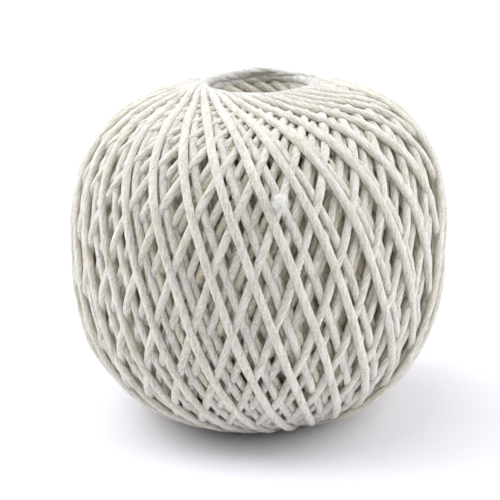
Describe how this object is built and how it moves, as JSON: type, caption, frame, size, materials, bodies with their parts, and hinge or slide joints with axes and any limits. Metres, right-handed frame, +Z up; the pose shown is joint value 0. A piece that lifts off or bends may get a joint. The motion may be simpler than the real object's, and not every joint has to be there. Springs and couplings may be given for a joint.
{
  "type": "ball of cotton twine",
  "caption": "Full round ball of undyed cotton twine, cross-wound in leaning loops round an open axial hole, resting on a small flat ring.",
  "frame": {"origin": "centre of the flat ring the ball rests on, on the axis of its hole", "axes": "+Z up along the hole through the ball; -Y towards the side seen from the front"},
  "size_m": [0.09, 0.0896, 0.0806],
  "materials": {
    "cotton_twine": "matte undyed cotton, soft-laid plies with a slight fuzz"
  },
  "bodies": {
    "root": {"wound_twine": "cotton_twine"}
  },
  "joints": []
}
